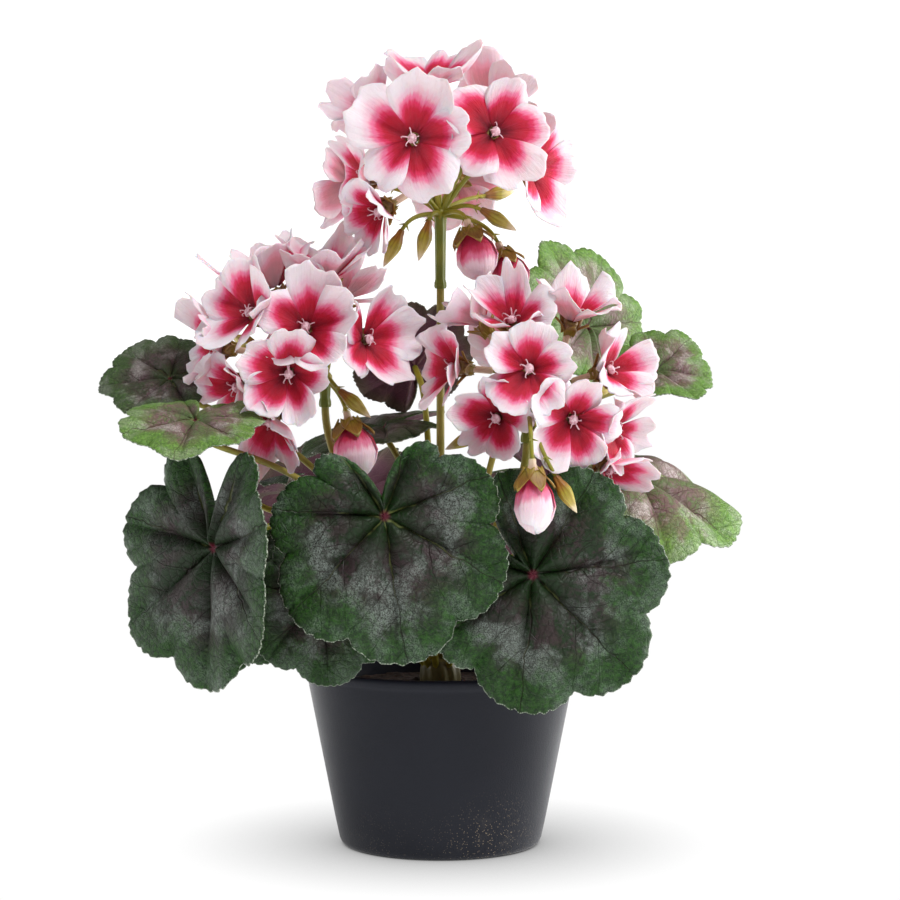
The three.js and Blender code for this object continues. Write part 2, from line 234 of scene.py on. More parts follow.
# %% Corners and their neighbours
def corners_of(node):
    """The node's corners, each once, and the set of neighbours of each."""
    mesh = bpy.data.objects[node].data
    seen, points, index = {}, [], []
    for vertex in mesh.vertices:
        key = tuple(round(c, 6) for c in vertex.co)
        if key not in seen:
            seen[key] = len(points)
            points.append(vertex.co.copy())
        index.append(seen[key])
    near = [set() for _ in points]
    for edge in mesh.edges:
        a, b = (index[i] for i in edge.vertices)
        if a != b:
            near[a].add(b)
            near[b].add(a)
    return points, near


def axes(origin, forward, up):
    """A matrix with +Z along up and +X as near to forward as that allows."""
    up = up.normalized()
    forward = (forward - up * forward.dot(up)).normalized()
    side = up.cross(forward)
    matrix = Matrix((forward, side, up)).transposed().to_4x4()
    matrix.translation = origin
    return matrix


def middle(points):
    return sum(points, Vector()) / len(points)


def facing_of(seat):
    return seat.to_3x3().col[2]


crown_corners = corners_of("crown_and_leaf_stalks")[0]


def blade_axes(node):
    points, near = corners_of(node)
    poles = sorted(range(len(points)), key=lambda i: len(near[i]))[-2:]
    to_stalk = {i: min((points[i] - p).length for p in crown_corners) for i in poles}
    under, top = sorted(poles, key=to_stalk.get)
    facing = points[top] - points[under]
    sinus = min((points[i] for i in near[top]), key=lambda p: (p - points[top]).length)
    return axes((points[top] + points[under]) / 2, points[top] - sinus, facing)


def flower_axes(node):
    """The flower's axes with its radius and cup: +Z faces out, and +X is its highest petal."""
    points, near = corners_of(node)
    most = max(len(n) for n in near)
    poles = [i for i in range(len(points)) if len(near[i]) == most]
    centre = middle(points)
    throat = min(poles, key=lambda i: (points[i] - centre).length)
    faces = (middle([points[i] for i in near[throat]]) - points[throat]).normalized()
    origin = points[throat] + faces * mm
    offsets = [p - origin for p in points]
    outward = [d - faces * d.dot(faces) for d in offsets]
    radius = max(d.length for d in outward)
    tips = [i for i, d in enumerate(outward) if d.length > 0.98 * radius]
    cup = max(offsets[i].dot(faces) for i in tips)
    highest = max(tips, key=lambda i: outward[i].dot(Vector((0.2, 0.3, 1))))
    return axes(origin, outward[highest], faces), radius, cup


def bud_axes(node):
    """A bud's axes from its base, +Z toward its tip, with its length and radius."""
    points, _ = corners_of(node)
    centre = middle(points)
    tip = max(points, key=lambda p: (p - centre).length)
    along = (tip - centre).normalized()
    length = max((tip - p).dot(along) for p in points)
    radius = max((p - tip - along * (p - tip).dot(along)).length for p in points)
    return axes(tip - along * length, Vector((0.31, -0.9, 0.3)), along), length, radius


# %% [markdown]
# ## Camera, floor and light
# A long lens 1.5 m away keeps the pot's sides straight. The floor and the air are white to the
# lens, so that the edge of the pot and the dark leaves stand out. A soft sun, high at the front
# right, gives the modelling, and a lamp at each side fills in.

# %% Camera
camera = placed("camera", bpy.data.cameras.new("camera"))
camera.location = (4.25 * mm, -1493.3 * mm, 297.3 * mm)
camera.rotation_euler = (math.radians(90 - 4.609), 0, 0)
camera.data.lens = 134.24
camera.data.clip_start, camera.data.clip_end = 0.05, 40
bpy.context.scene.camera = camera


# %% Node helpers
def linear(level):
    """The share of light of a screen level of 0 to 255, by the sRGB curve."""
    return level / 3294.6 if level <= 10.31 else ((level / 255 + 0.055) / 1.055) ** 2.4


def colour(red, green, blue):
    """A colour in screen levels as a node takes it."""
    return linear(red), linear(green), linear(blue), 1


def put(tree, kind, wires=None, **settings):
    """Adds a shader node, sets its settings, and wires or sets its inputs by name or number."""
    node = tree.nodes.new("ShaderNode" + kind)
    for key, value in settings.items():
        setattr(node, key, value)
    for socket, value in (wires or {}).items():
        if isinstance(value, bpy.types.NodeSocket):
            tree.links.new(value, node.inputs[socket])
        else:
            node.inputs[socket].default_value = value
    return node


def calc(tree, operation, *values, clamp=False):
    wires = dict(enumerate(values))
    return put(tree, "Math", wires, operation=operation, use_clamp=clamp).outputs[0]


def times(tree, first, second):
    return calc(tree, "MULTIPLY", first, second)


def add_share(tree, value, share, base):
    """The base plus a share of the value."""
    return calc(tree, "MULTIPLY_ADD", value, share, base)


def sway(tree, value, share, base):
    """The base moved up or down by a share of how far the value is from its middle, 0.5."""
    return add_share(tree, calc(tree, "SUBTRACT", value, 0.5), share, base)


def vector(tree, operation, *values):
    return put(tree, "VectorMath", dict(enumerate(values)), operation=operation).outputs


def split(tree, value):
    return put(tree, "SeparateXYZ", {0: value}).outputs


def combine(tree, *values):
    return put(tree, "CombineXYZ", dict(enumerate(values))).outputs[0]


def voronoi(tree, place, scale, feature="F1"):
    return put(tree, "TexVoronoi", {"Vector": place, "Scale": scale}, feature=feature).outputs


def blend(tree, factor, first, second, mode="MIX"):
    wires = {0: factor, 6: first, 7: second}
    node = put(tree, "Mix", wires, data_type="RGBA", blend_type=mode)
    return node.outputs[2]


def steps(tree, factor, *stops):
    """A colour ramp of stops of (place, red, green, blue)."""
    node = put(tree, "ValToRGB", {0: factor})
    ramp = node.color_ramp
    ramp.interpolation = "EASE"
    while len(ramp.elements) < len(stops):
        ramp.elements.new(0.5)
    for element, (place, *levels) in zip(ramp.elements, stops):
        element.position = place
        element.color = colour(*levels)
    return node.outputs["Color"]


def between(tree, value, low, high):
    """A mask that rises smoothly from 0 at low to 1 at high."""
    wires = {"Value": value, "From Min": low, "From Max": high}
    return put(tree, "MapRange", wires, interpolation_type="SMOOTHSTEP").outputs[0]


def noise(tree, place, scale, detail=2.0, roughness=0.5, distortion=0.0):
    wires = {"Vector": place, "Scale": scale, "Detail": detail, "Roughness": roughness}
    return put(tree, "TexNoise", {**wires, "Distortion": distortion}).outputs["Fac"]


def uv(tree, name):
    return put(tree, "UVMap", uv_map=name).outputs[0]


def own_place(tree):
    return put(tree, "TexCoord").outputs["Object"]


def new_group(name, inputs, outputs):
    """A group with named sockets, the first a vector; returns its tree, what it is given and makes."""
    tree = bpy.data.node_groups.new(name, "ShaderNodeTree")
    for title in inputs:
        kind = "NodeSocketVector" if title == inputs[0] else "NodeSocketFloat"
        tree.interface.new_socket(title, in_out="INPUT", socket_type=kind)
    for title in outputs:
        tree.interface.new_socket(title, in_out="OUTPUT", socket_type="NodeSocketFloat")
    return tree, tree.nodes.new("NodeGroupInput").outputs, tree.nodes.new("NodeGroupOutput").inputs


def effect(tree, group, **wires):
    """Places a shared node group in a material and wires its named inputs."""
    return put(tree, "Group", wires, node_tree=group).outputs


def new_material(name, **constants):
    """A material with its plain shader values set, and its tree and shader."""
    material = bpy.data.materials.new(name)
    material.use_nodes = True
    tree = material.node_tree
    shader = tree.nodes["Principled BSDF"]
    for title, value in constants.items():
        shader.inputs[title.replace("_", " ")].default_value = value
    return material, tree, shader.inputs


def relief(tree, shader, height, distance, strength=1.0):
    wires = {"Height": height, "Distance": distance, "Strength": strength}
    tree.links.new(put(tree, "Bump", wires).outputs[0], shader["Normal"])


def lens_sees(tree, seen, other, output):
    """The lens sees the first shader, and every other ray meets the second."""
    ray = put(tree, "LightPath").outputs["Is Camera Ray"]
    chosen = put(tree, "MixShader", dict(enumerate((ray, other.outputs[0], seen.outputs[0]))))
    tree.links.new(chosen.outputs[0], tree.nodes[output].inputs["Surface"])


# %% Floor and light
floor_paint, tree, shader = new_material("floor_paint", Roughness=0.9, Emission_Strength=0.42)
shader["Emission Color"].default_value = (1, 1, 1, 1)
grain = noise(tree, own_place(tree), 40.0)
grey = steps(tree, grain, (0, 250, 250, 250), (1, 253, 253, 253))
tree.links.new(grey, shader["Base Color"])
deselect()
bpy.ops.mesh.primitive_plane_add(size=8)
floor = named("floor")
floor.data.materials.append(floor_paint)
# The lens sees the floor as white paper with a painted contact shadow: ambient occlusion darkens it where the
# pot is near.
painted_contact_shadow = put(tree, "AmbientOcclusion", {"Distance": 0.075}, samples=16).outputs["Color"]
paper = put(tree, "Emission", {"Color": painted_contact_shadow, "Strength": 1.01})
lens_sees(tree, paper, tree.nodes["Principled BSDF"], "Material Output")

world = bpy.data.worlds.new("white_air")
bpy.context.scene.world = world
world.use_nodes = True
air = world.node_tree.nodes["Background"]
seen_air = put(world.node_tree, "Background", {"Color": (1, 1, 1, 1), "Strength": 1.2})
air.inputs["Color"].default_value = (0.97, 0.98, 1, 1)
air.inputs["Strength"].default_value = 0.22
lens_sees(world.node_tree, seen_air, air, "World Output")


def lamp(name, kind, power, aim):
    """A lamp that shines along aim."""
    data = bpy.data.lights.new(name, kind)
    data.energy = power
    made = placed(name, data)
    made.rotation_euler = Vector(aim).to_track_quat("-Z", "Y").to_euler()
    return made


lamp("soft_sun", "SUN", 3.1, (-0.52, 0.5, -1.05)).data.angle = math.radians(36)
lit = Vector((0, 0, 0.12))
side_lamps = {"side_lamp": ((1.2, 0.45, 0.35), 1.0, 18), "left_lamp": ((-1.3, 0.2, 0.5), 0.8, 5)}
for name, (place, size, watts) in side_lamps.items():
    made = lamp(name, "AREA", watts, lit - Vector(place))
    made.location = place
    made.data.size = size
bpy.context.scene.view_settings.view_transform = "Standard"
print("stage ready")

# %% [markdown]
# ## Shared surface effects
# Pressed fabric has a fine nap, moulded plastic a faint orange peel with specks of dust, and a leaf
# has printed veins. Each effect is one node group that several materials use with their own values.


# %% Fabric nap
nap, given, made = new_group("fabric_nap", ["Place", "Scale"], ["Height", "Tone"])
fine = noise(nap, given["Place"], given["Scale"], 3.0, 0.65)
coarse = noise(nap, given["Place"], times(nap, given["Scale"], 0.16), 3.0, 0.6)
nap.links.new(calc(nap, "ADD", fine, times(nap, coarse, 0.8)), made["Height"])
nap.links.new(between(nap, calc(nap, "ADD", fine, coarse), 0.7, 1.3), made["Tone"])

# %% Moulded plastic
moulded, given, made = new_group("moulded_surface", ["Place", "Scale", "Dust"], ["Height", "Dust", "Cloud"])
peel = noise(moulded, given["Place"], given["Scale"], 2.0, 0.5)
specks = voronoi(moulded, given["Place"], 900.0)["Distance"]
patches = noise(moulded, given["Place"], 26.0, 4.0, 0.6)
speck_mask = calc(moulded, "LESS_THAN", specks, times(moulded, given["Dust"], patches))
moulded.links.new(peel, made["Height"])
moulded.links.new(speck_mask, made["Dust"])
moulded.links.new(patches, made["Cloud"])

# %% [markdown]
# ### Leaf veins
# Seven main veins fan out from the stalk, one to a lobe. The angle to the nearest one gives two
# lengths, along it and across it. Side veins leave it in slanting pairs, and a fine net lies between.

# %% Leaf veins
leaf_lobes = 7
measures = ["Main", "Side", "Net", "Radius", "Angle", "Dome"]
veins, given, made = new_group("leaf_veins", ["Blade", "Lot"], measures)
centred = vector(veins, "SUBTRACT", given["Blade"], (0.5, 0.5, 0))[0]
sized = vector(veins, "MULTIPLY", centred, (2, 2, 0))[0]
parts = split(veins, sized)
shift = times(veins, given["Lot"], 7.0)
lifted = combine(veins, parts[0], parts[1], shift)
wander = put(veins, "TexNoise", {"Vector": lifted, "Scale": 4.0, "Detail": 3.0}).outputs["Color"]
pull = vector(veins, "SUBTRACT", wander, (0.5, 0.5, 0.5))[0]
pulled = vector(veins, "MULTIPLY_ADD", pull, (0.12, 0.12, 0), sized)[0]
bent = split(veins, pulled)
radius = vector(veins, "LENGTH", sized)["Value"]
angle = calc(veins, "ARCTAN2", bent[1], bent[0])
lobe = 2 * math.pi / leaf_lobes
nearest = calc(veins, "ROUND", calc(veins, "DIVIDE", angle, lobe))
off = calc(veins, "SUBTRACT", angle, times(veins, nearest, lobe))
along = times(veins, radius, calc(veins, "COSINE", off))
across = times(veins, radius, calc(veins, "SINE", off))
away = calc(veins, "ABSOLUTE", across)


def line(tree, distance, width):
    """1 on a line and 0 past its half width."""
    return calc(tree, "SUBTRACT", 1.0, calc(tree, "DIVIDE", distance, width), clamp=True)


thin = add_share(veins, radius, -0.007, 0.0105)
veins.links.new(line(veins, away, calc(veins, "MAXIMUM", thin, 0.003)), made["Main"])
slant = calc(veins, "SUBTRACT", along, times(veins, away, 0.95))
side = times(veins, calc(veins, "SIGN", across), 0.22)
shifted = times(veins, nearest, 0.37)
row = calc(veins, "ADD", add_share(veins, slant, 4.2, shifted), side)
gap = calc(veins, "ABSOLUTE", calc(veins, "SUBTRACT", calc(veins, "FRACT", row), 0.5))
past_base = between(veins, slant, 0.16, 0.24)
pairs = times(veins, line(veins, gap, 0.024), past_base)
veins.links.new(pairs, made["Side"])
cells = voronoi(veins, pulled, 17.0, "DISTANCE_TO_EDGE")[0]
small = voronoi(veins, pulled, 40.0, "DISTANCE_TO_EDGE")[0]
coarse_net = line(veins, cells, 0.045)
fine_net = times(veins, line(veins, small, 0.08), 0.55)
veins.links.new(calc(veins, "MAXIMUM", coarse_net, fine_net), made["Net"])
veins.links.new(radius, made["Radius"])
veins.links.new(angle, made["Angle"])
veins.links.new(between(veins, cells, 0.0, 0.32), made["Dome"])


# %% [markdown]
# ## Leaf fabric
# The top of a leaf is printed: a green margin, a clouded grey and purple middle with a silvery
# bloom of flock, a heart by the stalk, and dark veins. The silvery bloom is flock and also painted
# highlight, and the seams of the vein net are painted shade. Its zones run out along the lobes. The
# leaves come in a dark, a light and a dusky print, and the light print is paler fabric and also
# painted light that shines through those thin leaves. The back is maroon, and the cut edge frays into threads.


# %% Leaf materials
def leaf_top(name, bloom_and_highlight, *prints):
    """Takes the strength of the bloom of flock and painted highlight, and the eight colours of the print, in
    screen levels.
    """
    margin, margin_dark, *middles, flock_and_highlight, heart, vein = (colour(*levels) for levels in prints)
    middle_green, middle_grey, middle_purple = middles
    material, tree, shader = new_material(name, Roughness=0.42, Specular_IOR_Level=0.2)
    blade = uv(tree, "blade_map")
    zone = split(tree, uv(tree, "zone_map"))
    lines = effect(tree, veins, Blade=blade, Lot=zone[0])
    layer = times(tree, zone[0], 9.0)
    seat = vector(tree, "ADD", blade, combine(tree, 0, 0, layer))[0]
    turned_by = times(tree, lines["Angle"], 1.7)
    spread = combine(tree, turned_by, times(tree, lines["Radius"], 1.6), layer)
    rays = noise(tree, spread, 1.9, 4.0, 0.6)
    cloud = noise(tree, seat, 4.5, 4.0, 0.6)
    blotch = noise(tree, seat, 9.0, 4.0, 0.65, 0.4)
    crumbs = noise(tree, seat, 60.0, 3.0, 0.7)
    speck = noise(tree, seat, 240.0, 2.0, 0.7)
    # The zones run out along the lobes and break up into crumbs where they meet.
    ragged = sway(tree, rays, 0.8, zone[1])
    ragged = sway(tree, blotch, 0.3, ragged)
    ragged = sway(tree, crumbs, 0.4, ragged)
    outer = between(tree, ragged, 0.56, 0.86)
    mixed = sway(tree, crumbs, 0.6, cloud)
    centre = blend(tree, between(tree, mixed, 0.4, 0.56), middle_green, middle_grey)
    flushed = sway(tree, crumbs, 0.5, rays)
    flush = times(tree, between(tree, flushed, 0.44, 0.6), 0.75)
    centre = blend(tree, flush, centre, middle_purple)
    # The silvery bloom: flock and painted highlight together, in clouded patches away from the stalk.
    silver = sway(tree, cloud, 0.7, blotch)
    flock_and_highlight_mask = times(tree, between(tree, silver, 0.46, 0.66), between(tree, speck, 0.34, 0.62))
    flock_and_highlight_mask = times(tree, flock_and_highlight_mask, between(tree, lines["Radius"], 0.14, 0.5))
    centre = blend(tree, times(tree, flock_and_highlight_mask, bloom_and_highlight), centre, flock_and_highlight)
    near_heart = between(tree, add_share(tree, cloud, 0.25, lines["Radius"]), 0.2, 0.5)
    centre = blend(tree, near_heart, heart, centre)
    fleck = add_share(tree, speck, 0.4, times(tree, crumbs, 0.6))
    edge = blend(tree, between(tree, fleck, 0.4, 0.6), margin_dark, margin)
    edge = blend(tree, times(tree, flock_and_highlight_mask, 0.45 * bloom_and_highlight), edge, flock_and_highlight)
    face = blend(tree, outer, centre, edge)
    # Painted shade: the seams of the vein net are darkened, so each cell looks lit in its middle, as quilting
    # would be.
    painted_seam_shade = add_share(tree, lines["Dome"], -0.25, 0.25)
    face = blend(tree, painted_seam_shade, face, blend(tree, 0.5, margin_dark, vein))
    pale = blend(tree, outer, vein, blend(tree, 0.6, margin_dark, margin))
    inward = between(tree, lines["Radius"], 0.7, 0.2)
    lit_rib = times(tree, between(tree, cloud, 0.46, 0.56), inward)
    rib = blend(tree, lit_rib, vein, blend(tree, 0.4, margin, colour(168, 166, 104)))
    for title, fade, most in (("Net", -0.3, 0.5), ("Side", -0.4, 0.8)):
        seen = times(tree, lines[title], add_share(tree, outer, fade, most))
        face = blend(tree, seen, face, pale)
    face = blend(tree, times(tree, lines["Main"], 0.8), face, rib)
    face = blend(tree, between(tree, lines["Radius"], 0.05, 0.015), face, colour(92, 30, 44))
    fray = times(tree, between(tree, zone[1], 0.99, 0.997), between(tree, speck, 0.42, 0.6))
    face = blend(tree, times(tree, fray, 0.75), face, colour(196, 204, 188))
    tree.links.new(face, shader["Base Color"])
    woven = effect(tree, nap, Place=own_place(tree), Scale=2600.0)
    tree.links.new(add_share(tree, woven["Tone"], 0.16, 0.32), shader["Roughness"])
    sunk = calc(tree, "MAXIMUM", lines["Main"], times(tree, lines["Side"], 0.8))
    sunk = calc(tree, "MAXIMUM", sunk, times(tree, lines["Net"], 0.4))
    height = calc(tree, "SUBTRACT", times(tree, woven["Height"], 0.25), sunk)
    height = add_share(tree, lines["Dome"], 0.3, height)
    relief(tree, shader, add_share(tree, blotch, 0.9, height), 0.0006, 0.8)
    return material


# The margin and its dark flecks, the middle's green, grey and purple, the flock with its painted highlight,
# heart and veins.
dark_leaf = leaf_top("leaf_top_dark", 0.5, (42, 78, 27), (18, 42, 16), (24, 44, 20), (44, 46, 40),
                     (58, 40, 46), (156, 168, 160), (20, 42, 15), (28, 11, 16))
# The light print: paler fabric, and also painted light that shines through these thin leaves.
light_backlit_leaf = leaf_top("leaf_top_light", 0.7, (118, 158, 70), (78, 118, 48), (98, 114, 70), (124, 100, 94),
                      (126, 86, 98), (214, 208, 202), (86, 110, 62), (98, 58, 70))
dusky_leaf = leaf_top("leaf_top_dusky", 0.7, (72, 98, 50), (40, 60, 32), (58, 66, 46), (86, 76, 70),
                      (92, 68, 76), (186, 182, 178), (52, 70, 38), (60, 32, 40))

leaf_back, tree, shader = new_material("leaf_back", Roughness=0.6, Specular_IOR_Level=0.2)
zone = split(tree, uv(tree, "zone_map"))
lines = effect(tree, veins, Blade=uv(tree, "blade_map"), Lot=zone[0])
cloud = noise(tree, uv(tree, "blade_map"), 6.0, 4.0, 0.6)
face = steps(tree, cloud, (0.25, 82, 50, 62), (0.5, 104, 66, 82), (0.75, 118, 86, 92))
greened = times(tree, between(tree, zone[1], 0.7, 0.95), 0.45)
face = blend(tree, greened, face, colour(92, 104, 66))
ribs = calc(tree, "MAXIMUM", lines["Main"], times(tree, lines["Side"], 0.7))
ribs = calc(tree, "MAXIMUM", ribs, times(tree, lines["Net"], 0.3))
face = blend(tree, times(tree, ribs, 0.6), face, colour(158, 128, 122))
tree.links.new(face, shader["Base Color"])
woven = effect(tree, nap, Place=own_place(tree), Scale=2600.0)
relief(tree, shader, calc(tree, "ADD", ribs, times(tree, woven["Height"], 0.3)), 0.0006, 0.8)

leaf_rim, tree, shader = new_material("leaf_cut_edge", Roughness=0.8)
thread = noise(tree, own_place(tree), 900.0, 2.0, 0.6)
face = steps(tree, thread, (0.42, 62, 78, 50), (0.7, 190, 196, 180))
tree.links.new(face, shader["Base Color"])
print("leaf materials", [m.name for m in (dark_leaf, light_backlit_leaf, dusky_leaf, leaf_back, leaf_rim)])

# %% [markdown]
# ## Leaf blades
# Each blade is pressed from fabric: seven shallow lobes with scalloped edges, cut in at the stalk,
# pleated along the veins and bent by its own weight. A grid wrapped round the stalk's end gives
# rings for the pleats and enough corners at the rim for the scallops.

# %% Leaf shapes
# name: radius in mm, cup, fold, droop, curl, arch of the stalk in mm, material of the top
leaf_shapes = {
    "front_centre": (64, 0.04, 0, 0.15, 0.12, 0, dark_leaf),
    "front_right": (62, 0.06, 0, 0.2, 0.1, 0, dark_leaf),
    "front_left": (62, 0.04, 0, 0.25, 0, 50, dark_leaf),
    "low_left": (43, 0.05, 0, 0.2, 0.1, 0, dark_leaf),
    "low_centre": (40, 0.02, 0, 0.15, 0.1, 0, dark_leaf),
    "left_light": (35, 0.05, 0, 0.3, 0.3, 0, light_backlit_leaf),
    "far_left": (32, 0.05, 0.1, 0.3, 0.1, 0, dusky_leaf),
    "back_top": (35, 0.1, 0, 0.2, -0.2, 0, dark_leaf),
    "middle_left": (40, 0.05, 0, 0.3, 0.2, 0, dusky_leaf),
    "right_top": (44, 0.05, 0.1, 0.3, 0.1, 0, light_backlit_leaf),
    "far_right": (27, 0.05, 0.1, 0.4, 0.2, 20, light_backlit_leaf),
    "right_droop": (52, 0, 0, 0.35, 1.25, 0, light_backlit_leaf),
    "right_under": (42, 0.05, 0, 0.3, 0.2, 0, light_backlit_leaf),
    "left_behind": (36, 0.05, 0, 0.4, 0.3, 0, dark_leaf),
    "back_right": (46, 0.08, 0, 0.3, 0.2, 0, dark_leaf),
    "back_left": (55, 0.08, 0, 0.3, 0.2, 0, dark_leaf),
}
# An open leaf has its own back cut and sinus width, so its back lobes stand apart. A crease is an
# extra fold along the midrib.
lobe_depth, back_cut, sinus_depth, sinus_width = 0.15, 0.26, 0.72, 0.22
open_leaf = {"front_centre": (0.4, 0.42)}
crease = {"front_left": 0.16, "right_droop": 0.3, "left_light": 0.12, "far_right": 0.15}
scallops, scallop_depth, teeth, tooth_depth = 31, 0.016, 47, 0.009
pleat_height, pleat_fade, ring_spread = 0.62, 2.3, 0.85
blade_waves = ((0.028, 3, 0, 2), (0.022, 7, 0, 3), (0.010, 16, 5, 3))  # height, count, twist, growth
blade_thickness = 0.5 * mm


def outline(name, angle, lot):
    cut, width = open_leaf.get(name, (back_cut, sinus_width))
    lobes = 1 - lobe_depth * (1 - np.abs(np.cos(leaf_lobes / 2 * angle)) ** 0.55)
    lobes *= 1 - scallop_depth * (1 - np.abs(np.cos(scallops * angle + 2 * np.sin(3 * angle + lot))))
    lobes *= 1 - tooth_depth * np.abs(np.sin(teeth * angle + 3 * np.sin(2 * angle + lot)))
    backward = cut * (1 - np.cos(angle)) / 2
    return (lobes - backward) * (1 - sinus_depth * np.exp(-(((math.pi - np.abs(angle)) / width) ** 2)))


def rolled(along, above, angle, radius):
    """A point of a flat blade once the blade is bent by an angle over its radius."""
    if abs(angle) < 1e-6:
        return along, above
    bend = angle / radius
    turn = along * bend
    sine, cosine = np.sin(turn), np.cos(turn)
    return sine / bend + above * sine, (cosine - 1) / bend + above * cosine


def blade(name, spokes=400, rings=18):
    radius, cup, fold, droop, curl, _, top = leaf_shapes[name]
    chance = random.Random("leaf " + name)
    lot, wave = chance.uniform(0, 6), [chance.uniform(0, 6.28) for _ in range(3)]

    def place(across, along):
        angle = -math.pi * across
        share = along**ring_spread
        reach = share * radius * outline(name, angle, lot)
        x, y = reach * np.cos(angle), reach * np.sin(angle)
        height = cup * reach + (fold + crease.get(name, 0)) * np.abs(y)
        swung = leaf_lobes / 2 * angle + 0.35 * np.sin(2 * angle + wave[0]) * share
        pleat = np.abs(np.sin(swung)) ** 0.7 - 0.6
        height += pleat_height * radius * pleat * share * np.exp(-pleat_fade * share)
        # A dimple at the stalk, a rise in the middle of each lobe, the waves, and a rim that turns down.
        height += 0.03 * radius * (1 - np.exp(-((share / 0.16) ** 2)))
        height += 0.06 * radius * (np.abs(np.cos(leaf_lobes / 2 * angle)) ** 0.6 - 0.6) * share**3
        for (rise, count, twist, growth), shift in zip(blade_waves, wave):
            height += rise * radius * np.sin(count * angle + shift + twist * share) * share**growth
        height -= 0.03 * radius * share**8
        sideways, lifted = rolled(y, height, curl, radius)
        forward, upward = rolled(x, lifted, droop, radius)
        return forward * mm, sideways * mm, upward * mm

    def flat(across, along):
        angle = -math.pi * across
        reach = along**ring_spread * outline(name, angle, lot) / 2
        return 0.5 + reach * np.cos(angle), 0.5 + reach * np.sin(angle)

    def zone_of(across, along):
        return lot / 6, along**ring_spread

    maps = {"blade_map": flat, "zone_map": zone_of}
    made = sheet("blade_" + name, spokes, rings, place, maps, [top, leaf_back, leaf_rim])
    merge_corners(made)
    thicken(made, blade_thickness, back=1, rim=2)
    made.data.transform(blade_axes("leaf_" + name))
    return finished(made, "leaf", "leaf_" + name)


for name in leaf_shapes:
    blade(name)
print("leaf blades", len(leaf_shapes))

# %% [markdown]
# ## Stalk plastics
# The stalks are moulded in yellow-green plastic. The stub under each head is a deeper green, the
# sleeve behind a flower is flesh-coloured, and the sepals run from olive brown to an amber tip.


# %% Stalk materials
def stalk_plastic(name, *stops, scale=900.0, roughness=0.45):
    """Moulded plastic whose colour wanders along the stalk between the given colours."""
    material, tree, shader = new_material(name, Roughness=roughness, Specular_IOR_Level=0.35)
    surface = effect(tree, moulded, Place=own_place(tree), Scale=scale, Dust=0.1)
    drift = noise(tree, own_place(tree), 45.0, 3.0, 0.6)
    face = steps(tree, drift, *stops)
    face = blend(tree, times(tree, surface["Cloud"], 0.25), face, colour(120, 96, 50))
    tree.links.new(face, shader["Base Color"])
    relief(tree, shader, surface["Height"], 0.0003, 0.6)
    return material


stalk_green = stalk_plastic("stalk_green", (0.3, 112, 116, 22), (0.7, 160, 150, 42))
stem_green = stalk_plastic("stem_green", (0.3, 86, 108, 22), (0.7, 128, 138, 46))
stem_yellow = stalk_plastic("stem_yellow", (0.3, 122, 124, 40), (0.7, 166, 154, 74))
crown_brown = stalk_plastic("crown_brown", (0.3, 52, 52, 24), (0.7, 82, 80, 40))


def striped_plastic(name, *stops, wander=0.12, streak=0.5, rough=0.42):
    """Plastic coloured from the base (0) to the tip (1) of its long_map, with streaks along it."""
    material, tree, shader = new_material(name, Roughness=rough, Specular_IOR_Level=0.4)
    parts = split(tree, uv(tree, "long_map"))
    seat = combine(tree, times(tree, parts[0], 9.0), parts[1])
    thread = noise(tree, seat, 2.4, 3.0, 0.6)
    drift = noise(tree, own_place(tree), 160.0, 3.0, 0.6)
    shifted = sway(tree, drift, wander * 2, parts[1])
    face = steps(tree, shifted, *stops)
    streaks = times(tree, between(tree, thread, 0.4, 0.66), streak)
    stained = blend(tree, 1.0, face, colour(170, 128, 96), "MULTIPLY")
    tree.links.new(blend(tree, streaks, face, stained), shader["Base Color"])
    relief(tree, shader, calc(tree, "ADD", thread, times(tree, drift, 0.4)), 0.0003, 0.7)
    return material


sleeve_skin = striped_plastic("sleeve_plastic", (0.0, 196, 186, 128), (0.2, 214, 190, 164),
                              (0.62, 204, 170, 146), (0.85, 140, 116, 62), streak=0.25)
sepal_skin = striped_plastic("sepal_plastic", (0.0, 142, 122, 36), (0.45, 136, 98, 34),
                             (0.8, 150, 118, 44), (1.0, 170, 146, 70))
small_bud_skin = striped_plastic("small_bud_plastic", (0.0, 124, 80, 22), (0.3, 140, 92, 28),
                                 (0.5, 158, 146, 38), (0.72, 192, 178, 84),
                                 (0.92, 230, 214, 180), streak=0.5)

# %% [markdown]
# ## Crown and leaf stalks
# All leaf stalks rise from one short crown in the potting mix and arch over to the backs of their
# blades. Each is one Bezier curve with a round section, converted to a mesh.

# %% Crown and leaf stalks
pot_high = Vector(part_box("pot")[1])
crown_top = pot_high.z + 1 * mm
leaf_stalk_ring, leaf_stalk_radius = 6.8 * mm, 1.5 * mm
radii = (leaf_stalk_radius, 0.9 * leaf_stalk_radius)

profile = [(0.5, -18), (6, -17), (8.6, -12), (9, -8), (8.6, -3), (7.2, -0.6), (4, 0), (0, 0.2)]
crown = turned("crown_base", profile, 64, 24, crown_brown, ribs=11, rib_depth=0.05, twist=0.6)
crown.data.transform(Matrix.Translation((0, 0, crown_top)))
finished(crown, "stalk", "crown_and_leaf_stalks")

for name, shape in leaf_shapes.items():
    seat = blade_axes("leaf_" + name)
    facing, place = facing_of(seat), seat.translation
    around = Vector((place.x, place.y, 0)).normalized()
    start = around * leaf_stalk_ring + Vector((0, 0, crown_top - 3 * mm))
    end = place - facing * 0.3 * mm
    over = start.lerp(end, 0.35)
    over.z = end.z + shape[5] * mm
    behind = end - facing * 0.15 * (start - end).length
    tone = stalk_green if shape[6] == dark_leaf else stem_yellow
    made = stalk("stalk_" + name, [start, over, behind, end], radii, tone, 12, 28)
    finished(made, "stalk", "crown_and_leaf_stalks")
print("leaf stalks", len(leaf_shapes))
